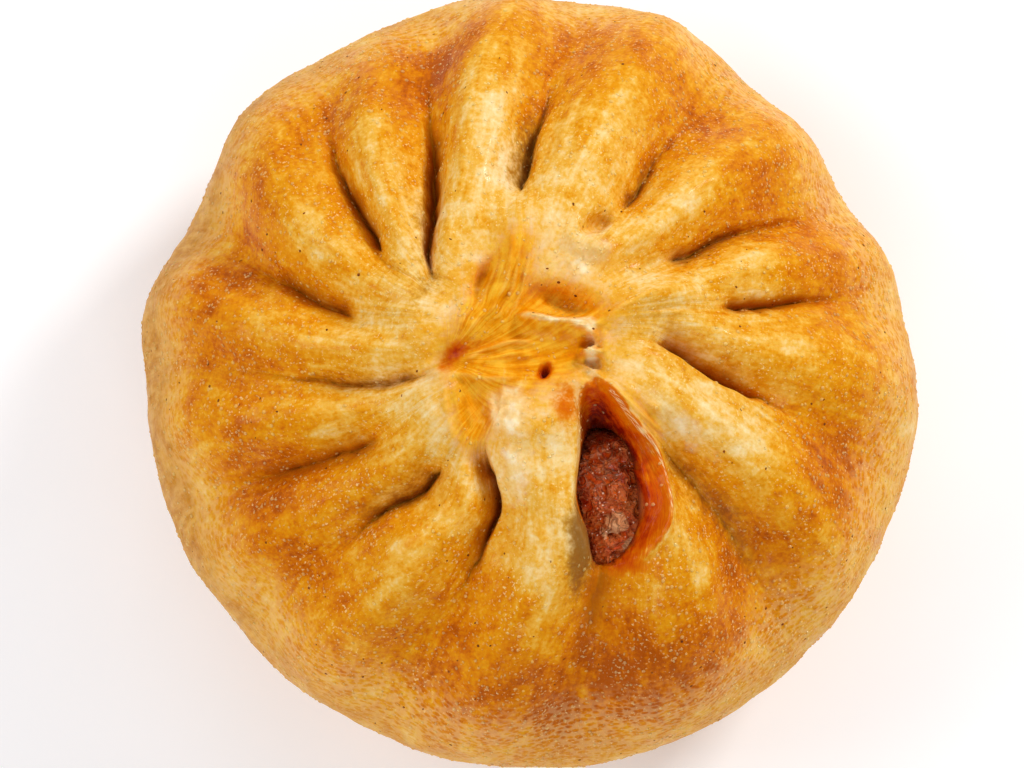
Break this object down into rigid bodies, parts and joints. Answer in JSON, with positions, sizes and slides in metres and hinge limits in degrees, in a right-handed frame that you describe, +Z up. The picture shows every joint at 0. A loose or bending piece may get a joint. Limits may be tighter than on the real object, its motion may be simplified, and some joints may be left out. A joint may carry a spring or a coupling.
{
  "type": "fried pork bun",
  "caption": "Round pleated bun of fried dough, gathered at the crown, with its glazed pork filling showing in one open pleat.",
  "frame": {"origin": "on the surface that the bun rests on, under the middle of its plan", "axes": "+Z up through the crown, the open pleat towards -Y and a little towards +X, as the picture shows it from the front"},
  "size_m": [0.0842, 0.0846, 0.0466],
  "materials": {
    "fried_dough": "golden fried dough, lightly oiled, toasted darker on the shoulders of the pleats",
    "pork_filling": "dark red-brown glazed pork, wet and glossy"
  },
  "bodies": {
    "root": {"dough": "fried_dough", "filling": "pork_filling"}
  },
  "joints": []
}
